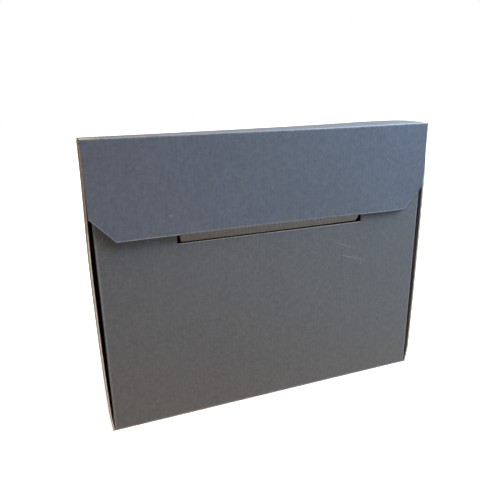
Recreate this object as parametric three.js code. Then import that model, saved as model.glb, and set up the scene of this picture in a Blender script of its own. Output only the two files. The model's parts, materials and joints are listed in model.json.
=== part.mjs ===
// A slim archival document box, folded from one blank of fine-flute corrugated board.
//
// The blank's panels are separate meshes, and so are its folds: along a fold the board is crushed
// thin, and that strip is the hinge. The box stands upright like a book.
//
// Millimetres. +X is the box's right, -Y its front, +Z up. The origin is the centre of the base.

import * as THREE from "three";

// Driving dimensions of the closed box.
const WIDTH = 310;
const DEPTH = 64;
const HEIGHT = 249;
const BOARD = 1.6; // thickness of the board
const CRUSHED = 0.8; // thickness of the board along a fold
const GAP = 0.3; // clearance between panels that touch
const ARC_STEPS = 8; // facets in a quarter turn

// The front panel stands inside the two side walls, and the closure flap hangs outside it.
const FLAP_STAND_OFF = 0.4;
const SIDE_ROOM = 0.9; // between a side wall and the flaps that stand inside it

// The closure flap and its tab.
const FLAP_DROP = 78.4; // from the top of the box to the flap's lower edge
const FLAP_CORNER_WIDTH = 19;
const FLAP_CORNER_HEIGHT = 20;
const TAB_LEFT = -85.5;
const TAB_RIGHT = 83.5;
const TAB_LENGTH = 8;
const TAB_TAPER = 1.3; // how much narrower each side of the tab is at its tip
const TAB_CREASE = 0.5; // thickness of the tab's crease, which is pressed thinner than the others
const TAB_TILT = THREE.MathUtils.degToRad(15); // how far the tab leans into its slot

// The slot in the front panel that takes the tab.
const SLOT_LEFT = -87.5;
const SLOT_RIGHT = 88.5;
const SLOT_BOTTOM = 162.4;
const SLOT_HEIGHT = 15;

// The flaps inside the box.
const DUST_FLAP_LENGTH = 48;
const DUST_FLAP_CORNER = 2; // how far its front edge tapers
const TUCK_FLAP_LENGTH = 30;
const TUCK_FLAP_TAPER = 4;
const BASE_FLAP_HEIGHT = 40;

// Outer faces and the planes that follow from them.
const RIGHT = WIDTH / 2;
const BACK = DEPTH / 2;
const FLAP_FRONT = -DEPTH / 2;
const CASE_FRONT = FLAP_FRONT + BOARD + FLAP_STAND_OFF;
const CASE_RIGHT = RIGHT - BOARD - SIDE_ROOM; // outer face of the flaps inside the side walls
const LID_UNDERSIDE = HEIGHT - BOARD;
const DUST_FLAP_TOP = LID_UNDERSIDE - GAP;
const DUST_FLAP_UNDERSIDE = DUST_FLAP_TOP - BOARD;
const FLAP_BOTTOM = HEIGHT - FLAP_DROP;

const OUTER_LINER = new THREE.MeshStandardMaterial({ color: 0x5b606b, roughness: 0.86, metalness: 0 });
const FOLD_LINER = new THREE.MeshStandardMaterial({ color: 0x8d939c, roughness: 0.8, metalness: 0 });

// A plate is drawn in its own x and y, with its thickness along its own z. These turns stand it up:
// the first sends x, y, z to the box's x, z, -y and the second sends them to y, z, x.
const LYING = new THREE.Euler(0, 0, 0);
const FACING_FRONT = new THREE.Euler(Math.PI / 2, 0, 0);
const FACING_SIDE = new THREE.Euler(Math.PI / 2, 0, Math.PI / 2, "ZYX");

const box = new THREE.Group();

function outline(points) {
  return new THREE.Shape(points.map(([x, y]) => new THREE.Vector2(x, y)));
}

function rectangle(left, bottom, right, top) {
  return outline([[left, bottom], [right, bottom], [right, top], [left, top]]);
}

function extruded(name, shape, length, material) {
  const geometry = new THREE.ExtrudeGeometry(shape, {
    depth: length,
    bevelEnabled: false,
    curveSegments: ARC_STEPS,
  });
  const mesh = new THREE.Mesh(geometry, material);
  mesh.name = name;
  return mesh;
}

function addPanel(name, shape, turn, x, y, z) {
  const panel = extruded(name, shape, BOARD, OUTER_LINER);
  panel.rotation.copy(turn);
  panel.position.set(x, y, z);
  box.add(panel);
}

// A fold is a quarter ring around the inner corner of two panels. Its quarter is counted
// anticlockwise from the one between its own +x and +y.
function addFold(name, quarter, length, turn, x, y, z) {
  const start = (quarter * Math.PI) / 2;
  const end = start + Math.PI / 2;
  const ring = new THREE.Shape();
  ring.absarc(0, 0, BOARD, start, end, false);
  ring.absarc(0, 0, BOARD - CRUSHED, end, start, true);
  ring.closePath();
  const fold = extruded(name, ring, length, FOLD_LINER);
  fold.rotation.copy(turn);
  fold.position.set(x, y, z);
  box.add(fold);
}

function addBackPanel() {
  const halfWidth = RIGHT - BOARD - GAP;
  const shape = rectangle(-halfWidth, BOARD + GAP, halfWidth, LID_UNDERSIDE - GAP);
  addPanel("back_panel", shape, FACING_FRONT, 0, BACK, 0);
}

function addBasePanel() {
  const halfWidth = CASE_RIGHT - BOARD - GAP;
  const front = CASE_FRONT + BOARD + GAP;
  const back = BACK - BOARD - GAP;
  addPanel("base_panel", rectangle(-halfWidth, front, halfWidth, back), LYING, 0, 0, 0);
}

function addFrontPanel() {
  const halfWidth = CASE_RIGHT - BOARD - GAP;
  const shape = rectangle(-halfWidth, BOARD + GAP, halfWidth, LID_UNDERSIDE - 2 * GAP);
  const slotTop = SLOT_BOTTOM + SLOT_HEIGHT;
  shape.holes.push(rectangle(SLOT_LEFT, SLOT_BOTTOM, SLOT_RIGHT, slotTop));
  addPanel("front_panel", shape, FACING_FRONT, 0, CASE_FRONT + BOARD, 0);
}

function addLid() {
  const halfWidth = RIGHT;
  const front = FLAP_FRONT + BOARD + GAP;
  const back = BACK - BOARD - GAP;
  addPanel("lid", rectangle(-halfWidth, front, halfWidth, back), LYING, 0, 0, LID_UNDERSIDE);
}

// The flap's two lower corners are cut off, and its edge is notched over the tab's crease.
function addClosureFlap() {
  const top = LID_UNDERSIDE - GAP;
  const cornerTop = FLAP_BOTTOM + FLAP_CORNER_HEIGHT;
  const cornerInside = RIGHT - FLAP_CORNER_WIDTH;
  const notchTop = FLAP_BOTTOM + TAB_CREASE + GAP;
  const shape = outline([
    [-RIGHT, top],
    [-RIGHT, cornerTop],
    [-cornerInside, FLAP_BOTTOM],
    [TAB_LEFT - GAP, FLAP_BOTTOM],
    [TAB_LEFT - GAP, notchTop],
    [TAB_RIGHT + GAP, notchTop],
    [TAB_RIGHT + GAP, FLAP_BOTTOM],
    [cornerInside, FLAP_BOTTOM],
    [RIGHT, cornerTop],
    [RIGHT, top],
  ]);
  addPanel("closure_flap", shape, FACING_FRONT, 0, FLAP_FRONT + BOARD, 0);
}

// The tab and its crease hang from a line along the flap's lower edge and lean inwards together.
function addTab() {
  const root = BOARD + GAP; // the tab proper starts this far below the line it hangs from
  const tabShape = outline([
    [TAB_LEFT, -root],
    [TAB_LEFT + TAB_TAPER, -TAB_LENGTH],
    [TAB_RIGHT - TAB_TAPER, -TAB_LENGTH],
    [TAB_RIGHT, -root],
  ]);
  const tab = extruded("tuck_tab", tabShape, BOARD, OUTER_LINER);
  tab.rotation.copy(FACING_FRONT);
  tab.position.y = BOARD;

  const creaseShape = rectangle(TAB_LEFT, GAP - root, TAB_RIGHT, 0);
  const crease = extruded("tab_fold", creaseShape, TAB_CREASE, FOLD_LINER);
  crease.rotation.copy(FACING_FRONT);
  crease.position.y = TAB_CREASE;

  const hanging = new THREE.Group();
  hanging.position.set(0, FLAP_FRONT, FLAP_BOTTOM);
  hanging.rotation.x = TAB_TILT;
  hanging.add(tab, crease);
  box.add(hanging);
}

// The folds that run along the box's width.
function addCrosswiseFolds() {
  const lidCentre = LID_UNDERSIDE;
  const caseHalf = RIGHT - BOARD - GAP;
  addFold("lid_fold", 0, 2 * RIGHT, FACING_SIDE, -RIGHT, BACK - BOARD, lidCentre);
  addFold("flap_fold", 1, 2 * RIGHT, FACING_SIDE, -RIGHT, FLAP_FRONT + BOARD, lidCentre);
  addFold("front_base_fold", 2, 2 * CASE_RIGHT, FACING_SIDE, -CASE_RIGHT, CASE_FRONT + BOARD, BOARD);
  addFold("back_base_fold", 3, 2 * caseHalf, FACING_SIDE, -caseHalf, BACK - BOARD, BOARD);
}

// Everything that the box has once on its left and once on its right. side is -1 or 1.
function addSide(name, side) {
  const isRight = side > 0;
  const wallLeft = isRight ? RIGHT - BOARD : -RIGHT;
  const liningLeft = isRight ? CASE_RIGHT - BOARD : -CASE_RIGHT;
  const front = CASE_FRONT + BOARD + GAP;
  const back = BACK - BOARD - GAP;
  const wallTop = DUST_FLAP_UNDERSIDE - GAP;
  const baseFlapBottom = BOARD + GAP;
  const tuckFlapBottom = BASE_FLAP_HEIGHT + 2 * GAP;
  const tuckFlapTop = wallTop - GAP;
  const tuckFlapBack = front + TUCK_FLAP_LENGTH;

  // The side wall is hinged from the back panel; its front and lower edges are free cut edges.
  addPanel(`${name}_wall`, rectangle(CASE_FRONT, 0, back, wallTop), FACING_SIDE, wallLeft, 0, 0);

  const backFoldX = side * (RIGHT - BOARD);
  const backFoldHeight = LID_UNDERSIDE - GAP;
  addFold(`${name}_back_fold`, isRight ? 0 : 1, backFoldHeight, LYING, backFoldX, BACK - BOARD, 0);

  // The front panel's side flap stands inside the wall, above the base panel's flap.
  const tuckFlap = outline([
    [front, tuckFlapBottom],
    [tuckFlapBack, tuckFlapBottom + TUCK_FLAP_TAPER],
    [tuckFlapBack, tuckFlapTop - TUCK_FLAP_TAPER],
    [front, tuckFlapTop],
  ]);
  addPanel(`${name}_tuck_flap`, tuckFlap, FACING_SIDE, liningLeft, 0, 0);
  const baseFlap = rectangle(front + GAP, baseFlapBottom, back - GAP, BASE_FLAP_HEIGHT);
  addPanel(`${name}_base_flap`, baseFlap, FACING_SIDE, liningLeft, 0, 0);

  const liningFoldX = side * (CASE_RIGHT - BOARD);
  const frontFoldHeight = LID_UNDERSIDE - 2 * GAP - baseFlapBottom;
  const frontFoldY = CASE_FRONT + BOARD;
  addFold(`${name}_front_fold`, isRight ? 3 : 2, frontFoldHeight, LYING,
    liningFoldX, frontFoldY, baseFlapBottom);
  addFold(`${name}_base_fold`, isRight ? 3 : 2, back - front, FACING_FRONT,
    liningFoldX, back, BOARD);

  // The dust flap lies under the lid. Its back edge slants so that it can rise at half the lid's
  // angle without touching the lid.
  const root = RIGHT - BOARD - GAP;
  const tip = RIGHT - DUST_FLAP_LENGTH;
  const slantedBack = (x) => BACK - (RIGHT - x) / 2 - 2 * GAP;
  const dustFlap = outline([
    [side * root, front],
    [side * root, Math.min(slantedBack(root), back - GAP)],
    [side * tip, slantedBack(tip)],
    [side * tip, front + DUST_FLAP_CORNER],
  ]);
  addPanel(`${name}_dust_flap`, dustFlap, LYING, 0, 0, DUST_FLAP_UNDERSIDE);
  addFold(`${name}_dust_fold`, isRight ? 0 : 1, back - GAP - front, FACING_FRONT,
    side * (RIGHT - BOARD), back - GAP, DUST_FLAP_UNDERSIDE);
}

addBackPanel();
addBasePanel();
addFrontPanel();
addLid();
addClosureFlap();
addTab();
addCrosswiseFolds();
addSide("left", -1);
addSide("right", 1);

export default box;
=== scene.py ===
"""Looks of the archival document box.

Fluted board panels, rounded folds and paper materials take the place of the plain CAD panels, and
a pale floor, soft lights and a camera at the photo's angle are set around them."""
import json
import math

import bpy
import numpy as np
from mathutils import Matrix, Vector


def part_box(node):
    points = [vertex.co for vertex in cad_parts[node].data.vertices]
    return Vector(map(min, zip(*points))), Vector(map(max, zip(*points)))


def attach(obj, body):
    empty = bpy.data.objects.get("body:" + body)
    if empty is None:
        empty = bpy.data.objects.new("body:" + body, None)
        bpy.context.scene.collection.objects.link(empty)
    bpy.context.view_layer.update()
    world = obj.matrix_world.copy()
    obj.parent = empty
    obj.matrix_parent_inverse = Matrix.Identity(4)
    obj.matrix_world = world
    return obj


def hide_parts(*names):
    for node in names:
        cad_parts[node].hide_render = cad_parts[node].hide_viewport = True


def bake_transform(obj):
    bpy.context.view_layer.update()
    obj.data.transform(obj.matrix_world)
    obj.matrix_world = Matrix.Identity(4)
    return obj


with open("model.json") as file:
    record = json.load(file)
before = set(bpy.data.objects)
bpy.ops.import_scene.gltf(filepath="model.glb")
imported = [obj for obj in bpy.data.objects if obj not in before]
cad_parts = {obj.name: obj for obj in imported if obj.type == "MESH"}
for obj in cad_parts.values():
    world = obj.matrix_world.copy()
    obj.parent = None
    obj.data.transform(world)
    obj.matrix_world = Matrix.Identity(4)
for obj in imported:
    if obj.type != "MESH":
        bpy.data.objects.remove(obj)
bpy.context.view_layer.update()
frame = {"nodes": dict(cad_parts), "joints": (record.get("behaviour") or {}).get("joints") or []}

MM = 0.001

# ---------------------------------------------------------------------------------------------
# Sizes, in metres, taken from the frame.


def corners(node, axis):
    """The places along an axis where a node's outline has a corner, from low to high."""
    co = [v.co[axis] for v in frame["nodes"][node].data.vertices]
    return sorted({round(c, 5) for c in co})


LID_LOW, LID_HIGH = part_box("lid")
FLAP_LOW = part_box("closure_flap")[0]
FRONT_LOW, FRONT_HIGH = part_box("front_panel")

HALF_WIDTH = LID_HIGH.x
TOP = LID_HIGH.z
BOARD = LID_HIGH.z - LID_LOW.z
CASE_FRONT = FRONT_LOW.y
CASE_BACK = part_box("back_panel")[1].y
CAD_GAP = LID_LOW.y - (FLAP_LOW.y + BOARD)

# The closure flap's cut-off corners, and where the dust flap under the lid ends.
FLAP_CORNER_X = corners("closure_flap", 0)[-2]
FLAP_CORNER_TOP = corners("closure_flap", 2)[2]
DUST_FLAP_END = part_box("right_dust_flap")[0].x

# ---------------------------------------------------------------------------------------------
# The board.

LINER = 0.14 * BOARD  # thickness of each liner
MEDIUM = 0.10 * BOARD  # thickness of the wavy medium between them
FLUTE = 2 * HALF_WIDTH / 89  # pitch of its waves
OUTER_STEP, MEDIUM_STEP, INNER_STEP = FLUTE / 6, FLUTE / 8, FLUTE / 4  # grid steps across them

# How far the outer liner's ribs stand out over the flutes, on flat board and along a fold.
RIB = 0.014 * MM
FOLD_RIB = 0.10 * MM

# How far in from a cut along the flutes the board is crushed, and the room left in it there.
CRUSH_REACH = 0.6 * MM
CRUSH_ROOM = 0.03 * MM

# Folds: how much thinner the board is in the bend, how far the bend is pinched out, as a share of
# the board, how pale it is, worn and with painted highlight, and the grid rows round a bend that
# runs across or along the flutes.
FOLD_SQUEEZE = 0.5
FOLD_SHARPNESS = 0.33
FOLD_WEAR_AND_HIGHLIGHT = 0.6
ROWS_ACROSS, ROWS_ALONG = 8, 16

# How much of the board's thickness the tab's crease keeps in its middle.
TAB_CREASE = 0.4

# Length of a tapered flap at its very corners, as a share, so that none of its faces is empty.
CORNER_LENGTH = 0.02

# How much narrower each side of the tab is at its tip, and how much shorter its right end is cut.
TAB_TAPER = 1.3 * MM
TAB_TRIM = 1.7 * MM

# ---------------------------------------------------------------------------------------------
# Wear, and painted light and shade.

# Height of the pale, frayed line along the closure flap's lower edge, and of the painted highlight
# along the slot's lower edge, then that highlight's strength.
FRAYED = 1.0 * MM
SLOT_HIGHLIGHT = 0.3 * MM
SLOT_HIGHLIGHT_STRENGTH = 0.9

# The flap's edge is frayed this much less over the tab and where it is pressed flat.
SHELTERED = 0.45
SHELTER_FADE = 0.5 * MM

# Heights of the flap's grid lines above its lower edge, which the fraying needs.
EDGE_ROWS = [height * MM for height in (0.4, 0.8, 1.5, 3, 4.5, 6)]

# Width of the strip of painted shade at each end of the slot.
SLOT_SHADE_WIDTH = 0.4 * MM

# How much darker the cut edges of each side wall are, from 0 to 1.
WALL_EDGE_DARKENING = {"left": 0.0, "right": 0.35}

# How far the painted warm light at the top left corners reaches, along the lid and down the wall.
WARM_CORNER_ALONG = 24 * MM
WARM_CORNER_DOWN = 0.9 * MM

# ---------------------------------------------------------------------------------------------
# How the box has settled in use. Each function moves points, given as x, y, z arrays.

# Each side wall: how far its free front edge stands out at most and at the top, the height where
# it stands out most, and how far it toes in at its foot.
LEFT_WALL = (2.95 * MM, 1.3 * MM, 0.585 * TOP, 0.6 * MM)
RIGHT_WALL = (2.9 * MM, 0.6 * MM, 0.80 * TOP, 1.8 * MM)
BOW_FULLNESS = 0.6  # power of the bow's rise; a smaller one makes a fuller bow
BOW_FALL = 0.93  # share of the way to the top that the bow's fall takes
WALL_BULGE = 0.5 * MM
BULGE_REACH = 0.22  # share of the box's depth where the bulge has set in
TOE_HEIGHT = 14 * MM

# The top of the case, and the lid. Each pair says between which two places a movement sets in.
FRONT_TOP_RISE = 0.3 * MM
FRONT_LEFT_RISE = 1.2 * MM
BACK_LEFT_DROP = 1.7 * MM
RIGHT_END_RISE = 1.1 * MM
RIGHT_END = (0.2 * HALF_WIDTH, HALF_WIDTH)
NEAR_TOP = (0.88 * TOP, 0.98 * TOP)
AT_TOP = (TOP - 3 * BOARD, TOP - BOARD)
LID_CREASE = 0.35 * MM
CREASE_HALF_WIDTH = 1.3 * MM
LID_END_RISE = 1.2 * MM
LID_END = (0.35 * HALF_WIDTH, 0.95 * HALF_WIDTH)
DUST_DROOP = 0.035  # slope of the dust flaps

# The closure flap. Its lift and its pucker grow downwards and to the left by these powers.
FLAP_LIFT = 3.2 * MM
LIFT_POWER_DOWN = 1.3
LIFT_POWER_LEFT = 2.2
FLAP_PUCKER = 1.3 * MM
PUCKER_AT = 0.72 * HALF_WIDTH
PUCKER_HALF_WIDTH = 0.22 * HALF_WIDTH
PUCKER_POWER_DOWN = 3
LOWEST_LIFTED = 1.2  # where they stop growing; 1 is the flap's lower edge
FLAP_SKEW = 0.45 * MM

# Its lower right corner is pressed this share of the way back to the front, from this far in.
PRESSED = 0.85
PRESSED_REACH = 6 * MM
PRESSED_FACE = CASE_FRONT - 0.15 * MM

# The front of the case.
BELLY = 0.9 * MM
BELLY_TOP = 0.62 * TOP
ARCH = 0.6 * MM
ARCH_HEIGHT = 0.08 * TOP
RIGHT_INSET = 1.5 * MM
INSET_END = (0.3 * HALF_WIDTH, 0.98 * HALF_WIDTH)
INSET_TOP = 0.76 * TOP


def smooth(t):
    t = np.clip(t, 0.0, 1.0)
    return t * t * (3 - 2 * t)


def ramp(value, start, end):
    """Rises smoothly from 0 at start to 1 at end."""
    return smooth((value - start) / (end - start))


def backward(y):
    """0 at the front of the case, 1 at its back."""
    return np.clip((y - CASE_FRONT) / (CASE_BACK - CASE_FRONT), 0, 1)


def crown(x):
    """1 at mid width, 0 at the box's two ends."""
    return np.clip(1 - (x / HALF_WIDTH) ** 2, 0, 1)


def leftness(x):
    """1 at the box's left end, 0 at its right end."""
    return np.clip(0.5 - 0.5 * x / HALF_WIDTH, 0, 1)


def down_flap(z):
    """0 at the top of the box, 1 at the closure flap's lower edge, more below it."""
    return np.clip((TOP - z) / (TOP - FLAP_LOW.z), 0, LOWEST_LIFTED)


def unsettled(x, y, z):
    return x, y, z


def settle_top(x, y, z):
    """The top slopes backwards at its left end, its right end is lifted, and a crease crosses it
    where the dust flap under the lid ends."""
    back = backward(y)
    front_rise = FRONT_TOP_RISE * crown(x) + FRONT_LEFT_RISE * leftness(x)
    rise = front_rise * (1 - back) - BACK_LEFT_DROP * smooth(leftness(x)) * back
    rise = rise + RIGHT_END_RISE * ramp(x, *RIGHT_END)
    crease = LID_CREASE * np.exp(-((x - DUST_FLAP_END) / CREASE_HALF_WIDTH) ** 2)
    return x, y, z + rise * ramp(z, *NEAR_TOP) - crease * ramp(z, *AT_TOP)


def wall_bow(y, z, most, at_top, turn, toe_in):
    """How far a side wall stands out. It bows at its free front edge and bulges behind it."""
    back = backward(y)
    forward = 1 - back ** 2
    rise = np.sin(0.5 * math.pi * np.clip(z / turn, 0, 1)) ** BOW_FULLNESS
    fall = ramp(z, turn, turn + BOW_FALL * (TOP - turn))
    bow = most * rise - (most - at_top) * fall
    bulge = WALL_BULGE * smooth(back / BULGE_REACH) * (1 - back)
    toe = toe_in * np.clip(1 - z / TOE_HEIGHT, 0, 1) ** 2
    return bow * (forward + bulge / most) - toe * forward


def settle_wall(x, y, z):
    left, right = wall_bow(y, z, *LEFT_WALL), wall_bow(y, z, *RIGHT_WALL)
    return settle_top(np.where(x < 0, x - left, x + right), y, z)


def settle_lid(x, y, z):
    """The lid's right end is pushed up between its folds by the dust flap under it."""
    rise = LID_END_RISE * ramp(x, *LID_END) * np.sin(math.pi * backward(y))
    x, y, z = settle_top(x, y, z)
    return x, y, z + rise


def settle_dust(x, y, z):
    """A dust flap droops into the box, and leaves its wall where the wall has bowed to."""
    x, y, z = settle_wall(x, y, z)
    return x, y, z - DUST_DROOP * np.clip(HALF_WIDTH - np.abs(x), 0, None)


def settle_front(x, y, z):
    """The front bellies out below the slot, its lower edge arches and its right end stands in."""
    forward = 1 - backward(y)
    belly = BELLY * crown(x) * np.sin(math.pi * np.clip(z / BELLY_TOP, 0, 1))
    arch = ARCH * crown(x) * np.clip(1 - z / ARCH_HEIGHT, 0, 1)
    inset = RIGHT_INSET * ramp(x, *INSET_END) * np.clip(1 - z / INSET_TOP, 0, 1)
    return settle_top(x - inset * forward, y - belly * forward, z + arch * forward)


def flap_lift(x, z):
    """How far the closure flap stands off the front, most at its lower left corner.

    It puckers between the slot and its pressed right corner."""
    down = down_flap(z)
    pucker = FLAP_PUCKER * np.exp(-((x - PUCKER_AT) / PUCKER_HALF_WIDTH) ** 2)
    lift = FLAP_LIFT * down ** LIFT_POWER_DOWN * leftness(x) ** LIFT_POWER_LEFT
    return lift + pucker * down ** PUCKER_POWER_DOWN


def beyond_corner(x, z):
    """Distance from the flap's cut-off lower right corner, measured into the flap."""
    across, down = FLAP_CORNER_TOP - FLAP_LOW.z, HALF_WIDTH - FLAP_CORNER_X
    length = math.hypot(across, down)
    return ((FLAP_CORNER_X - x) * across + (z - FLAP_LOW.z) * down) / length


def settle_flap(x, y, z):
    """The flap hangs askew, stands off the front and is pressed flat at its right corner."""
    lift = flap_lift(x, z)
    skew = FLAP_SKEW * x / HALF_WIDTH * down_flap(z)
    pressed = PRESSED * smooth(1 - beyond_corner(x, z) / PRESSED_REACH)
    x, y, z = settle_top(x, y, z)
    return x, y - lift + pressed * (PRESSED_FACE - y), z - skew


def rubbed(x, y, z):
    """1 at the box's top left corners, where warm light is painted on, 0 beyond its reach."""
    along = np.clip(x + HALF_WIDTH, 0, None) / WARM_CORNER_ALONG
    down = np.clip(TOP - z, 0, None) / WARM_CORNER_DOWN
    return np.clip(1 - np.hypot(along, down), 0, 1)


# ---------------------------------------------------------------------------------------------
# Materials.

OUTER_WORN = (0.27, 0.28, 0.29, 1)
# Pale liner: frayed and worn edges and folds, and painted highlight on folds and along the slot's
# lower edge.
PALE_WEAR_AND_HIGHLIGHT = (0.42, 0.43, 0.44, 1)
# Painted warm light at the top left corners.
WARM_LIT_BROWN = (0.47, 0.37, 0.29, 1)
# Darkened cut edges: painted shade at the slot's ends, and the right wall's darker edges.
DARKENED_EDGE_COLOUR = (0.03, 0.029, 0.028, 1)
INNER_DARK = (0.155, 0.150, 0.145, 1)
INNER_LIGHT = (0.205, 0.198, 0.190, 1)
INNER_FLECKS = (0.27, 0.26, 0.24, 1)

# Light scratches in the front: start and end (x, z) in millimetres, half width and strength.
SCRATCHES = (
    ((70.1, 131.2), (90.4, 125.0), 0.6, 0.30),
    ((90.4, 125.0), (91.6, 123.4), 0.6, 0.20),
    ((89.8, 121.6), (90.2, 120.6), 0.6, 0.30),
    ((61.2, 145.3), (82.3, 137.0), 0.7, 0.16),
    ((111.8, 219.9), (118.7, 215.5), 0.7, 0.20),
    ((-3.1, 202.7), (-2.9, 202.1), 0.8, 0.22),
    ((-92.0, 187.5), (-90.6, 186.8), 0.8, 0.28),
    ((51, 233.6), (52.6, 232.2), 0.6, 0.20),
    ((-115.6, 226.9), (-114.6, 226.2), 0.7, 0.22),
)
SCRATCH_CORE, SCRATCH_FADE = 0.5, 1.7  # where a scratch starts and ends to fade, in half widths
SCRATCH_DENT = 1.2


class Painter:
    """Builds one node material, a node at a time."""

    def __init__(self, name):
        self.material = bpy.data.materials.new(name)
        self.material.use_nodes = True
        self.tree = self.material.node_tree
        self.shader = self.tree.nodes["Principled BSDF"]
        self.place = self.add("TexCoord", output="Object")

    def feed(self, socket, value):
        if isinstance(value, bpy.types.NodeSocket):
            self.tree.links.new(value, socket)
        elif value is not None:
            socket.default_value = value

    def add(self, kind, inputs=(), output=0, **settings):
        node = self.tree.nodes.new("ShaderNode" + kind)
        for key, value in settings.items():
            setattr(node, key, value)
        for key, value in dict(inputs).items():
            self.feed(node.inputs[key], value)
        return node.outputs[output]

    def attribute(self, name, output="Fac"):
        return self.add("Attribute", output=output, attribute_name=name)

    def part(self, vector, axis):
        return self.add("SeparateXYZ", {0: vector}, output=axis)

    def math(self, operation, a, b=0.0, c=0.0):
        return self.add("Math", {0: a, 1: b, 2: c}, operation=operation)

    def vector(self, operation, a, b, output="Vector"):
        return self.add("VectorMath", {0: a, 1: b}, output=output, operation=operation)

    def total(self, *parts):
        """The sum of values, each times its weight."""
        (value, weight), *others = parts
        total = self.math("MULTIPLY", value, weight)
        for value, weight in others:
            total = self.math("MULTIPLY_ADD", value, weight, total)
        return total

    def noise(self, place, scale=1.0, detail=2.0, roughness=0.5):
        return self.add("TexNoise", {"Vector": place, "Scale": scale, "Detail": detail,
                                     "Roughness": roughness})

    def ribs(self):
        """1 over each crest of the flutes, -1 between them."""
        across = self.part(self.attribute("sheet", "Vector"), "X")
        return self.math("COSINE", self.math("MULTIPLY", across, 2 * math.pi / FLUTE))

    def spread(self, value, low, high, to_low=0.0, to_high=1.0):
        return self.add("MapRange", {"Value": value, "From Min": low, "From Max": high,
                                     "To Min": to_low, "To Max": to_high},
                        interpolation_type="SMOOTHSTEP")

    def mix(self, factor, a, b):
        """Mixes two colours. A mix node's colour sockets are inputs 6 and 7 and output 2."""
        return self.add("Mix", {0: factor, 6: a, 7: b}, output=2, data_type="RGBA")

    def bump(self, height, distance, strength):
        return self.add("Bump", {"Height": height, "Distance": distance, "Strength": strength})

    def set(self, **inputs):
        for key, value in inputs.items():
            self.feed(self.shader.inputs[key.replace("_", " ")], value)


def scratched(p, rough):
    """The scratches' strength in the front of the box, 0 elsewhere."""
    flattened = p.vector("MULTIPLY", p.place, (1, 0, 1))
    total = None
    for start, end, half_width, strength in SCRATCHES:
        half_width = half_width * MM
        start = Vector((start[0], 0, start[1])) * MM
        along = Vector((end[0], 0, end[1])) * MM - start
        from_start = p.vector("SUBTRACT", flattened, start)
        share = p.vector("DOT_PRODUCT", from_start, along, output="Value")
        share = p.add("Clamp", {0: p.math("DIVIDE", share, along.length_squared)})
        nearest = p.add("VectorMath", {0: along, "Scale": share}, operation="SCALE")
        gap = p.vector("DISTANCE", from_start, nearest, output="Value")
        gap = p.math("MULTIPLY_ADD", rough, half_width, gap)
        line = p.spread(gap, SCRATCH_CORE * half_width, SCRATCH_FADE * half_width,
                        to_low=strength, to_high=0.0)
        total = line if total is None else p.math("MAXIMUM", total, line)
    gaps = p.noise(p.place, scale=450, detail=1)
    broken = p.spread(gaps, 0.35, 0.6, to_low=0.3, to_high=1.2)
    in_front = p.math("LESS_THAN", p.part(p.place, "Y"), FRONT_HIGH.y)
    return p.math("MULTIPLY", p.math("MULTIPLY", total, broken), in_front)


def outer_paper(name, dark, light):
    """Outer liner: cloudy dyeing, woven-looking fibres, faint painted shading over the flutes, worn
    edges, painted highlight on folds and the slot's lower edge, painted warm light at the top left
    corners.
    """
    p = Painter(name)
    sheet = p.attribute("sheet", "Vector")
    clouds = p.noise(p.place, scale=22)
    patches = p.noise(p.place, scale=190, detail=1)
    blotches = p.noise(p.place, scale=330, detail=3, roughness=0.6)
    flecks = p.noise(p.place, scale=620)
    fibres = p.noise(p.place, scale=1300, detail=4, roughness=0.7)
    streaks_up = p.noise(p.vector("MULTIPLY", sheet, (1200, 130, 0)))
    streaks_across = p.noise(p.vector("MULTIPLY", sheet, (150, 1000, 0)))
    # The ribs' small share is painted shading over the flutes.
    tone = p.total((clouds, 0.08), (blotches, 0.60), (patches, 0.25), (fibres, 0.35),
                   (streaks_up, 0.20), (streaks_across, 0.10), (p.ribs(), 0.006))
    base = p.mix(p.spread(tone, 0.57, 1.01), dark, light)
    base = p.mix(p.spread(flecks, 0.68, 0.80, to_high=0.30), base, OUTER_WORN)
    # Paler along frayed edges and worn folds, with painted highlight on the folds and along the
    # slot's lower edge.
    edge = p.math("POWER", p.math("MAXIMUM", p.part(sheet, "Z"), 0.0), 1.5)
    edge = p.math("MULTIPLY", edge, p.spread(blotches, 0.25, 0.65, to_low=0.45))
    base = p.mix(p.math("MULTIPLY", edge, 0.95), base, PALE_WEAR_AND_HIGHLIGHT)
    # Painted warm light at the top left corners.
    warm_lit = p.math("MULTIPLY_ADD", blotches, 0.5, p.attribute("rubbed"))
    base = p.mix(p.spread(warm_lit, 0.5, 1.1, to_high=0.8), base, WARM_LIT_BROWN)
    scratch = scratched(p, p.math("SUBTRACT", fibres, 0.5))
    base = p.mix(scratch, base, OUTER_WORN)
    rough = p.math("MULTIPLY_ADD", blotches, 0.16, 0.50)
    rough = p.math("SUBTRACT", rough, p.math("MULTIPLY", edge, 0.2))
    height = p.total((blotches, 0.5), (fibres, 0.5), (streaks_up, 0.5), (scratch, -SCRATCH_DENT))
    p.set(Base_Color=base, Roughness=rough, Specular_IOR_Level=0.5,
          Normal=p.bump(height, 0.05 * MM, 0.6))
    return p.material


def inner_paper(name):
    """Liner inside the box: soft clouds, fibres and faint painted shading over the flutes."""
    p = Painter(name)
    clouds = p.noise(p.place, scale=30, detail=3)
    flecks = p.noise(p.place, scale=800)
    fibres = p.noise(p.place, scale=1400, detail=4, roughness=0.7)
    tone = p.total((fibres, 0.5), (clouds, 0.5), (p.ribs(), 0.02))
    base = p.mix(p.spread(tone, 0.35, 0.65), INNER_DARK, INNER_LIGHT)
    base = p.mix(p.spread(flecks, 0.68, 0.80, to_high=0.5), base, INNER_FLECKS)
    p.set(Base_Color=base, Roughness=p.math("MULTIPLY_ADD", clouds, 0.15, 0.72),
          Specular_IOR_Level=0.3, Normal=p.bump(fibres, 0.05 * MM, 0.5))
    return p.material


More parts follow.
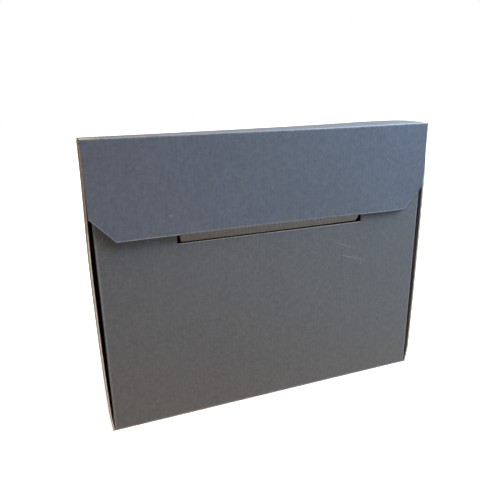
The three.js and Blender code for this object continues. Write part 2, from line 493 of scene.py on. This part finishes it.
def core_paper(name, dark, light, stained):
    """Undyed board core, seen where the board is cut: torn fibres, browner near the outer liner.

    It is darkened where the sheet's wear and shading value is below 0: painted shade at the slot's
    ends, and darker cut edges on the right wall."""
    p = Painter(name)
    fibres = p.noise(p.place, scale=2600, detail=4, roughness=0.75)
    blotches = p.noise(p.place, scale=350, detail=3)
    base = p.mix(p.spread(p.total((blotches, 0.4), (fibres, 0.6)), 0.35, 0.65), dark, light)
    inwards = p.math("MULTIPLY_ADD", blotches, 0.3, p.attribute("depth"))
    base = p.mix(p.spread(inwards, 0.35, 0.85, to_low=1.0, to_high=0.0), base, stained)
    wear = p.part(p.attribute("sheet", "Vector"), "Z")
    # Painted shade at the slot's ends, and the right wall's darker cut edges.
    base = p.mix(p.math("MAXIMUM", p.math("MULTIPLY", wear, -0.95), 0.0), base, DARKENED_EDGE_COLOUR)
    p.set(Base_Color=base, Roughness=0.92, Specular_IOR_Level=0.2,
          Normal=p.bump(fibres, 0.08 * MM, 0.7))
    return p.material


# The lid and its flap are bluer than the case; the tab is painted warmer with the floor's warm
# bounce light.
CASE_LINER = outer_paper("case_liner", (0.092, 0.098, 0.110, 1), (0.129, 0.134, 0.145, 1))
LID_LINER = outer_paper("lid_liner", (0.088, 0.101, 0.131, 1), (0.124, 0.138, 0.172, 1))
# A warmer, lighter copy of the case liner: painted warm light thrown up from the floor onto the
# tab.
WARM_BOUNCE_TAB_LINER = outer_paper("tab_liner", (0.132, 0.128, 0.121, 1), (0.182, 0.172, 0.159, 1))
LINERS = {
    "lid": LID_LINER, "lid_fold": LID_LINER, "flap_fold": LID_LINER, "closure_flap": LID_LINER,
    "tab_fold": WARM_BOUNCE_TAB_LINER, "tuck_tab": WARM_BOUNCE_TAB_LINER,
}
# The cut edges are lighter than the board's own cream: painted light for the left wall's front
# edge, which the flap shades.
CUT = core_paper("cut_edge", (0.66, 0.57, 0.51, 1), (0.86, 0.78, 0.71, 1), (0.62, 0.52, 0.45, 1))
CORE = core_paper("fluted_core", (0.60, 0.53, 0.44, 1), (0.92, 0.86, 0.76, 1),
                  (0.36, 0.26, 0.19, 1))
INNER = inner_paper("inner_liner")

# Places of a panel's materials in its mesh.
OUTER_SLOT, CUT_SLOT, CORE_SLOT, INNER_SLOT = range(4)

# ---------------------------------------------------------------------------------------------
# Corrugated board: two liners and a wavy medium between them, each a closed shell.
# u runs across the flutes, v along them, w is the depth below the outer face.

SHARP_ANGLE = math.radians(40)


def lines(start, end, step, breaks=()):
    """Grid lines from start to end, about step apart, with a line at each break."""
    stops = sorted({start, end, *[b for b in breaks if start < b < end]})
    parts = []
    for low, high in zip(stops, stops[1:]):
        count = max(1, round((high - low) / step))
        parts.append(np.linspace(low, high, count + 1)[:-1])
    return np.append(np.concatenate(parts), end)


def grid_shell(us, ts, reach, top, bottom, place, keep, wear):
    """A closed shell between depths top(u, v) and bottom(u, v) over the kept cells of a grid.

    Lines run at each u and, between the two ends of reach(u), at each share t of the way.
    Returns its points, faces, sheet values (u, v, wear and shading, depth) and which faces are its
    rim."""
    u, t = np.meshgrid(us, ts, indexing="ij")
    low, high = reach(u)
    v = low + (high - low) * t
    nu, nv = u.shape
    depths = [top(u, v), bottom(u, v)]
    layers = [np.stack(place(u, v, depth), -1).reshape(-1, 3) for depth in depths]
    marking = np.broadcast_to(wear(u, v, v - low), u.shape)
    sheet = np.stack([u, v, marking], -1).reshape(-1, 3)
    sheet = np.column_stack([np.concatenate([sheet, sheet]), np.concatenate(depths).ravel()])
    kept = keep((u[:-1, :-1] + u[1:, 1:]) / 2, (v[:-1, :-1] + v[1:, 1:]) / 2)
    number = np.arange(nu * nv).reshape(nu, nv)
    a, b, c, d = number[:-1, :-1], number[1:, :-1], number[1:, 1:], number[:-1, 1:]
    quads = np.stack([a[kept], b[kept], c[kept], d[kept]], -1)
    around = np.pad(kept, 1)
    rims = []
    for first, second, neighbour in (
        (a, b, around[1:-1, :-2]),
        (b, c, around[2:, 1:-1]),
        (c, d, around[1:-1, 2:]),
        (d, a, around[:-2, 1:-1]),
    ):
        rim = kept & ~neighbour
        rims.append(np.stack([first[rim], second[rim]], -1))
    rim = np.concatenate(rims)
    below = nu * nv
    sides = np.stack([rim[:, 1], rim[:, 0], rim[:, 0] + below, rim[:, 1] + below], -1)
    faces = np.concatenate([quads, quads[:, ::-1] + below, sides])
    is_rim = np.arange(len(faces)) >= 2 * len(quads)
    return np.concatenate(layers), faces, sheet, is_rim


def wave(u):
    return np.cos(2 * math.pi * u / FLUTE)


def everywhere(u, v):
    return np.ones(u.shape, bool)


def unmarked(u, v, above):
    return 0.0


def flat_rib(u, v):
    return RIB


def board(name, us, reach, place, rows, keep=everywhere, u_breaks=(), t_breaks=(), rib=flat_rib,
          wear=unmarked, medium_slot=CORE_SLOT):
    """A panel of corrugated board between the two values in us and the two ends of reach(u).

    place(u, v, w) puts a point of the sheet in the box. The wear and shading argument, called with
    (u, v, above), is above 0 where the outer liner is paler, from wear and painted highlight, and
    below
    0 where the cut edges are darkened, partly with painted shade; above is the distance from the
    start of reach(u). The flute that a cut runs along is crushed, so the medium fills the board
    there."""
    swing = (BOARD - 2 * LINER - MEDIUM) / 2

    def medium(u, open_depth, crushed_depth):
        crushed = np.exp(-np.minimum(u - us[0], us[1] - u) / CRUSH_REACH)
        return crushed_depth + (open_depth - swing * wave(u) - crushed_depth) * (1 - crushed)

    def outer_face(u, v):
        return -rib(u, v) * wave(u)

    def outer_back(u, v):
        return np.full_like(u, LINER)

    def medium_top(u, v):
        return medium(u, (BOARD - MEDIUM) / 2, LINER + CRUSH_ROOM)

    def medium_bottom(u, v):
        return medium(u, (BOARD + MEDIUM) / 2, BOARD - LINER - CRUSH_ROOM)

    def inner_back(u, v):
        return np.full_like(u, BOARD - LINER)

    def inner_face(u, v):
        return BOARD - RIB * wave(u)

    shells = (
        # Step across the flutes, upper and lower depth, material of the faces and of the rim.
        (OUTER_STEP, outer_face, outer_back, OUTER_SLOT, CUT_SLOT),
        (MEDIUM_STEP, medium_top, medium_bottom, medium_slot, CORE_SLOT),
        (INNER_STEP, inner_back, inner_face, INNER_SLOT, INNER_SLOT),
    )
    ts = lines(0.0, 1.0, 1 / rows, t_breaks)
    points, faces, sheets, slots, count = [], [], [], [], 0
    for step, top, bottom, face_slot, rim_slot in shells:
        shell_us = lines(*us, step, u_breaks)
        co, quads, sheet, is_rim = grid_shell(shell_us, ts, reach, top, bottom, place, keep, wear)
        points.append(co)
        faces.append(quads + count)
        sheets.append(sheet)
        slots.append(np.where(is_rim, rim_slot, face_slot))
        count += len(co)
    return build_mesh(name, *map(np.concatenate, (points, faces, sheets, slots)))


def build_mesh(name, co, faces, sheet, slots):
    used = np.unique(faces)
    renumber = np.zeros(len(co), int)
    renumber[used] = np.arange(len(used))
    mesh = bpy.data.meshes.new(name)
    mesh.from_pydata(co[used].tolist(), [], renumber[faces].tolist())
    for material in (LINERS.get(name, CASE_LINER), CUT, CORE, INNER):
        mesh.materials.append(material)
    mesh.polygons.foreach_set("material_index", slots.astype(np.int32))
    for title, kind, key, values in (
        ("sheet", "FLOAT_VECTOR", "vector", sheet[used, :3]),
        ("rubbed", "FLOAT", "value", rubbed(*co[used].T)),
        ("depth", "FLOAT", "value", sheet[used, 3] / BOARD),
    ):
        attribute = mesh.attributes.new(title, kind, "POINT")
        attribute.data.foreach_set(key, values.astype(np.float32).ravel())
    mesh.shade_smooth()
    mesh.set_sharp_from_angle(angle=SHARP_ANGLE)
    piece = bpy.data.objects.new(name, mesh)
    bpy.context.scene.collection.objects.link(piece)
    return piece


# ---------------------------------------------------------------------------------------------
# Pieces. Each one takes the place of the CAD node of the same name.

LEFT, RIGHT = np.array((-1.0, 0, 0)), np.array((1.0, 0, 0))
FORE, AFT = np.array((0, -1.0, 0)), np.array((0, 1.0, 0))
DOWN, UP = np.array((0, 0, -1.0)), np.array((0, 0, 1.0))


def span(node, along):
    """Where a node starts and ends along a direction, as distances from the origin."""
    low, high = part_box(node)
    return sorted((float(along @ np.array(low)), float(along @ np.array(high))))


def stand_for(piece, node, body):
    """The piece replaces a CAD node, and rides on its body if it is given one."""
    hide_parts(node)
    if body:
        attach(piece, body)
    return piece


def panel(node, body, out, along, settle, rows=16, reach=None, **options):
    """A flat panel whose outer face looks to out and whose flutes run along a direction."""
    across = np.cross(along, out)
    face = span(node, out)[1]
    whole = span(node, along)

    def place(u, v, w):
        return settle(*(across[k] * u + along[k] * v + out[k] * (face - w) for k in range(3)))

    def whole_length(u):
        return whole

    piece = board(node, span(node, across), reach or whole_length, place, rows, **options)
    return stand_for(piece, node, body)


def fold_centre(node, first, second):
    """The inner corner of a fold's box, which it bends about."""
    low, high = map(np.array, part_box(node))
    return np.where(-(first + second) > 0, high, low)


def fold_path(first, second, centre):
    """A quarter bend from a face that looks to first round to one that looks to second.

    Returns its length and a function that puts distance p along it, depth w, in the box."""
    arc = 0.5 * math.pi * BOARD
    length = arc + 2 * CAD_GAP

    def bend(p, w, k):
        turn = np.clip((p - CAD_GAP) / arc, 0, 1)
        angle = 0.5 * math.pi * turn
        radius = BOARD - w * (1 - FOLD_SQUEEZE * np.sin(math.pi * turn))
        radius = radius + FOLD_SHARPNESS * BOARD * np.sin(math.pi * turn) ** 2
        before = np.clip(CAD_GAP - p, 0, None)
        after = np.clip(p - CAD_GAP - arc, 0, None)
        return (centre[k] + radius * (first[k] * np.cos(angle) + second[k] * np.sin(angle))
                - before * second[k] - after * first[k])

    return length, bend


def fold(node, body, first, second, settle, crosses):
    """The rounded fold between two panels. crosses says whether it runs across the flutes.

    The bend starts on the panel that looks to first and ends on the one that looks to second."""
    length, bend = fold_path(first, second, fold_centre(node, first, second))
    along = np.cross(second, first) if crosses else np.cross(first, second)
    ends, bent = span(node, along), (0.0, length)
    us, vs = (ends, bent) if crosses else (bent, ends)

    def place(u, v, w):
        straight, around = (u, v) if crosses else (v, u)
        return settle(*(along[k] * straight if along[k] else bend(around, w, k)
                        for k in range(3)))

    def reach(u):
        return vs

    def rib(u, v):
        return RIB + (FOLD_RIB - RIB) * np.sin(math.pi * v / length)

    # Paler towards the bend's middle: wear, and painted highlight.
    def wear(u, v, above):
        return FOLD_WEAR_AND_HIGHLIGHT * np.sin(math.pi * (v if crosses else u) / length)

    piece = board(node, us, reach, place, ROWS_ACROSS if crosses else ROWS_ALONG,
                  rib=rib if crosses else flat_rib, wear=wear, medium_slot=INNER_SLOT)
    return stand_for(piece, node, body)


def blended_fold(node, first, second, settle):
    """A fold across a joint: it bends from the first body's panel to the second's.

    It rides on no body, and settles last, once its place is baked in."""
    piece = fold(node, None, first, second, unsettled, crosses=True)
    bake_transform(piece)
    co = np.array([v.co for v in piece.data.vertices])
    piece.data.vertices.foreach_set("co", np.stack(settle(*co.T), -1).ravel())
    piece.data.update()


def add_front():
    slot_left, slot_right = corners("front_panel", 0)[1:3]
    bottom, slot_bottom, slot_top, top = corners("front_panel", 2)
    levels = (slot_bottom - 2 * SLOT_HIGHLIGHT, slot_bottom - SLOT_HIGHLIGHT, slot_bottom, slot_top)
    columns = [x + step for x in (slot_left, slot_right) for step in (-SLOT_SHADE_WIDTH, 0, SLOT_SHADE_WIDTH)]

    def outside_slot(u, v):
        return (u < slot_left) | (u > slot_right) | (v < slot_bottom) | (v > slot_top)

    def slot_shading(u, v, above):
        """Painted shade at the slot's ends, and a painted highlight along its lower edge."""
        beyond = np.minimum(np.abs(u - slot_left), np.abs(u - slot_right)) / SLOT_SHADE_WIDTH
        beside_slot = (v > slot_bottom - BOARD) & (v < slot_top + BOARD)
        darkened = np.clip(1 - beyond, 0, 1) * beside_slot
        pale_line = np.clip(2 - (slot_bottom - v) / SLOT_HIGHLIGHT, 0, 1)
        pale_line = SLOT_HIGHLIGHT_STRENGTH * pale_line * (v < slot_bottom + SLOT_HIGHLIGHT)
        return np.where((u > slot_left) & (u < slot_right), pale_line, -darkened)

    panel("front_panel", "case", FORE, UP, settle_front, rows=24, keep=outside_slot,
          u_breaks=columns, t_breaks=[(z - bottom) / (top - bottom) for z in levels],
          wear=slot_shading)


def add_closure_flap():
    left, corner_left, tab_left, tab_right, corner_right, right = corners("closure_flap", 0)
    bottom, notch, corner_top, top = corners("closure_flap", 2)
    notch_side = 0.01 * MM
    outline_x = (left, corner_left, tab_left - notch_side, tab_left, tab_right,
                 tab_right + notch_side, corner_right, right)
    outline_z = (corner_top, bottom, bottom, notch, notch, bottom, bottom, corner_top)
    fray_x = (tab_left - SHELTER_FADE, tab_left, tab_right, tab_right + SHELTER_FADE,
              corner_right, right)
    fray_share = (1, SHELTERED, SHELTERED, 1, 1, SHELTERED)

    def reach(u):
        return np.interp(u, outline_x, outline_z), top

    def pale_line(u, v, above):
        """Frayed pale along the lower edge, less where the tab or the front shelters it."""
        return (1 - smooth(above / FRAYED)) * np.interp(u, fray_x, fray_share)

    panel("closure_flap", "flap_body", FORE, UP, settle_flap, rows=10, reach=reach,
          u_breaks=outline_x, t_breaks=[row / (top - bottom) for row in EDGE_ROWS], wear=pale_line)


def add_tab():
    """The tab leans from the flap's lower edge into the slot, more where the flap stands off.

    Here v is the height above the hinge."""
    joint = next(j for j in frame["joints"] if j["name"] == "tab_hinge")
    hinge_y, hinge_z = joint["pos_m"][1:]
    crease_top = corners("closure_flap", 2)[1] - hinge_z
    root = BOARD + CAD_GAP
    lean = math.radians(-joint["range_deg"][0])
    low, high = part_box("tuck_tab")
    tip = (hinge_z - low.z) / math.cos(lean)
    lean_in = tip * math.sin(lean)

    def place(u, v, w):
        lift = flap_lift(u, hinge_z)
        sine = (lift + lean_in) / tip
        cosine = np.sqrt(1 - sine ** 2)
        hang = np.clip(-v, 0, None)
        tilt = np.clip(hang / root, 0, 1)
        y = hinge_y - lift + hang * sine + w * (1 - tilt * (1 - cosine))
        skew = FLAP_SKEW * u / HALF_WIDTH
        z = hinge_z - skew - hang * cosine + np.clip(v, 0, None) + w * tilt * sine
        return u, y, z

    def squeezed(u, v, w):
        share = np.clip(np.where(v < 0, -v / root, v / crease_top), 0, 1)
        return place(u, v, w * (TAB_CREASE + (1 - TAB_CREASE) * smooth(share)))

    def tab_reach(u):
        end = np.clip(np.minimum(u - low.x, high.x - u) / TAB_TAPER, 0, 1)
        length = tip - root - TAB_TRIM * np.clip(0.5 + 0.5 * u / high.x, 0, 1)
        return -root - length * (CORNER_LENGTH + (1 - CORNER_LENGTH) * end), -root

    def crease_reach(u):
        return -root, crease_top

    def crease_rib(u, v):
        return FOLD_RIB

    tab = board("tuck_tab", (low.x, high.x), tab_reach, place, 5,
                u_breaks=(low.x + TAB_TAPER, high.x - TAB_TAPER))
    stand_for(tab, "tuck_tab", "tab_body")
    crease = board("tab_fold", (low.x, high.x), crease_reach, squeezed, 8, rib=crease_rib,
                   medium_slot=INNER_SLOT)
    stand_for(crease, "tab_fold", None)
    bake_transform(crease)


def add_side(name, side):
    """What the box has once on each side. side is -1 for the left and 1 for the right."""
    out = LEFT if side < 0 else RIGHT
    back_turn, front_turn = ((AFT, out), (out, FORE)) if side < 0 else ((out, AFT), (FORE, out))

    # The wall's cut edges are darkened by its share.
    def darkened(u, v, above):
        return -WALL_EDGE_DARKENING[name]

    panel(f"{name}_wall", "case", out, UP, settle_wall, wear=darkened)
    fold(f"{name}_back_fold", "case", *back_turn, settle_wall, crosses=False)
    fold(f"{name}_front_fold", "case", *front_turn, settle_front, crosses=False)
    fold(f"{name}_base_fold", "case", DOWN, out, settle_front, crosses=False)
    panel(f"{name}_base_flap", "case", out, AFT, settle_front, rows=6)

    tuck = f"{name}_tuck_flap"
    front, back = span(tuck, AFT)
    low, low_taper, high_taper, high = corners(tuck, 2)

    def tuck_reach(u):
        inwards = (u * side - front) / (back - front)
        return low + (low_taper - low) * inwards, high - (high - high_taper) * inwards

    panel(tuck, "case", out, UP, settle_front, reach=tuck_reach)

    dust = f"{name}_dust_flap"
    root, tip = span(dust, -out)
    dust_front, tip_front, *_, tip_back, dust_back = corners(dust, 1)

    def dust_reach(u):
        y = u * side
        front_share = np.clip((y - dust_front) / (tip_front - dust_front), 0, 1)
        back_share = np.clip((dust_back - y) / (dust_back - tip_back), 0, 1)
        share = CORNER_LENGTH + (1 - CORNER_LENGTH) * np.minimum(front_share, back_share)
        return root, root + (tip - root) * share

    panel(dust, f"{name}_dust_body", UP, -out, settle_dust, rows=10, reach=dust_reach,
          u_breaks=(side * tip_front, side * tip_back))
    blended_fold(f"{name}_dust_fold", out, UP, settle_dust)


panel("back_panel", "case", AFT, UP, settle_top)
panel("base_panel", "case", DOWN, FORE, settle_front, rows=6)
panel("lid", "lid_body", UP, AFT, settle_lid, rows=12)
fold("front_base_fold", "case", DOWN, FORE, settle_front, crosses=True)
fold("back_base_fold", "case", AFT, DOWN, settle_front, crosses=True)
blended_fold("lid_fold", AFT, UP, settle_top)
blended_fold("flap_fold", FORE, UP, settle_flap)
add_front()
add_closure_flap()
add_tab()
add_side("left", -1)
add_side("right", 1)

# ---------------------------------------------------------------------------------------------
# Floor, light and camera.

CAMERA_PLACE = Vector((-166.22, -400.78, 275.93)) * MM
CAMERA_RIGHT = (0.9387, -0.3439, -0.0224)
CAMERA_UP = (0.1187, 0.2617, 0.9578)
CAMERA_BACK = (-0.3235, -0.9018, 0.2865)
CAMERA_LENS, CAMERA_SENSOR = 35.84, 36  # focal length and sensor width, in millimetres
CAMERA_SHIFT = (0.0008, 0.0024)
CAMERA_NEAR = 10 * MM

# The floor is pale and glows for the camera. For the light that it throws on the box it is warm
# close by and cool further off, as the distances in metres say.
FLOOR_REACH = 6.0
FLOOR_DARK = (0.84, 0.84, 0.83, 1)
FLOOR_LIGHT = (0.88, 0.88, 0.87, 1)
FLOOR_GLOW = 0.85
FLOOR_NEAR_BOUNCE = (0.53, 0.43, 0.31, 1)
FLOOR_FAR_BOUNCE = (0.35, 0.41, 0.49, 1)
FLOOR_NEAR, FLOOR_FAR = 0.1, 0.9

WORLD_LIGHT = (0.06, 0.06, 0.06, 1)
WORLD_SEEN = (1, 1, 1, 1)
SUNS = (
    # name, azimuth, elevation, spread, strength, colour
    ("key", 25, 72, 30, 2.50, (1.0, 0.80, 0.62)),
    ("fill", -10, 72, 34, 0.99, (1.0, 0.66, 0.42)),
    ("back", 205, 40, 30, 0.40, (0.85, 0.92, 1.0)),
)
PANEL_LIGHTS = (
    # name, place, target, size, power, colour, whether it gives more than a reflection
    ("upper_right", (0.55, -0.28, 0.62), (0.15, 0, 0.22), 0.4, 9.0, (0.42, 0.72, 1.0), True),
    ("backdrop", (0.35, 1.1, 0.75), (0, 0, 0.25), 0.9, 3.0, (0.80, 0.89, 1.0), False),
    ("rim", (0.60, 0.27, 0.83), (0.12, 0, 0.25), 0.3, 7.0, (0.66, 0.86, 1.0), False),
)


def add_camera():
    data = bpy.data.cameras.new("camera")
    data.lens = CAMERA_LENS
    data.sensor_width = CAMERA_SENSOR
    data.shift_x, data.shift_y = CAMERA_SHIFT
    data.clip_start = CAMERA_NEAR
    camera = bpy.data.objects.new("camera", data)
    turn = Matrix((CAMERA_RIGHT, CAMERA_UP, CAMERA_BACK)).transposed().to_4x4()
    camera.matrix_world = Matrix.Translation(CAMERA_PLACE) @ turn
    bpy.context.scene.collection.objects.link(camera)
    bpy.context.scene.camera = camera


def floor_paint():
    """Pale paint. It doesn't glow under the box, where it would show through the open slits."""
    p = Painter("floor")
    seen = p.add("LightPath", output="Is Camera Ray")
    paint = p.mix(p.noise(p.place, scale=6, detail=3), FLOOR_DARK, FLOOR_LIGHT)
    away = p.add("VectorMath", {0: p.place}, output="Value", operation="LENGTH")
    bounce = p.mix(p.spread(away, FLOOR_NEAR, FLOOR_FAR), FLOOR_NEAR_BOUNCE, FLOOR_FAR_BOUNCE)
    under = p.math(
        "MULTIPLY",
        p.math("LESS_THAN", p.math("ABSOLUTE", p.part(p.place, "X")), HALF_WIDTH - BOARD / 2),
        p.math("LESS_THAN", p.math("ABSOLUTE", p.part(p.place, "Y")), CASE_BACK - BOARD / 2),
    )
    glow = p.math("MULTIPLY", p.math("SUBTRACT", seen, under), FLOOR_GLOW)
    p.set(Base_Color=p.mix(seen, bounce, paint), Roughness=0.9, Specular_IOR_Level=0.1,
          Emission_Color=paint, Emission_Strength=p.math("MAXIMUM", glow, 0.0))
    return p.material


def add_floor():
    mesh = bpy.data.meshes.new("floor")
    signs = ((-1, -1), (1, -1), (1, 1), (-1, 1))
    mesh.from_pydata([(x * FLOOR_REACH, y * FLOOR_REACH, 0) for x, y in signs], [], [(0, 1, 2, 3)])
    mesh.materials.append(floor_paint())
    floor = bpy.data.objects.new("floor", mesh)
    bpy.context.scene.collection.objects.link(floor)


def add_light(name, kind, towards, power, colour):
    """A light that shines from the direction towards, seen from what it lights."""
    data = bpy.data.lights.new(name, kind)
    data.energy = power
    data.color = colour
    light = bpy.data.objects.new(name, data)
    light.rotation_euler = towards.to_track_quat("Z", "Y").to_euler()
    bpy.context.scene.collection.objects.link(light)
    return light


def add_sun(name, azimuth, elevation, spread, strength, colour):
    """A distant soft light. Azimuth 0 shines from the front, 90 from the right."""
    azimuth, elevation = math.radians(azimuth), math.radians(elevation)
    towards = Vector((math.cos(elevation) * math.sin(azimuth),
                      -math.cos(elevation) * math.cos(azimuth), math.sin(elevation)))
    sun = add_light(name, "SUN", towards, strength, colour)
    sun.data.angle = math.radians(spread)


def add_panel_light(name, place, target, size, power, colour, lit):
    """A square soft light. Unless lit, only its reflection shows."""
    light = add_light(name, "AREA", Vector(place) - Vector(target), power, colour)
    light.data.size = size
    light.location = place
    light.visible_diffuse = lit


def add_world():
    """White all round for the camera, dim as a light."""
    world = bpy.data.worlds.new("studio")
    world.use_nodes = True
    tree = world.node_tree
    ray = tree.nodes.new("ShaderNodeLightPath")
    seen = tree.nodes.new("ShaderNodeMix")
    seen.data_type = "RGBA"
    seen.inputs[6].default_value = WORLD_LIGHT
    seen.inputs[7].default_value = WORLD_SEEN
    tree.links.new(ray.outputs["Is Camera Ray"], seen.inputs[0])
    tree.links.new(seen.outputs[2], tree.nodes["Background"].inputs["Color"])
    bpy.context.scene.world = world
    bpy.context.scene.view_settings.view_transform = "Standard"


add_camera()
add_floor()
add_world()
for sun in SUNS:
    add_sun(*sun)
for panel_light in PANEL_LIGHTS:
    add_panel_light(*panel_light)

bpy.context.view_layer.update()
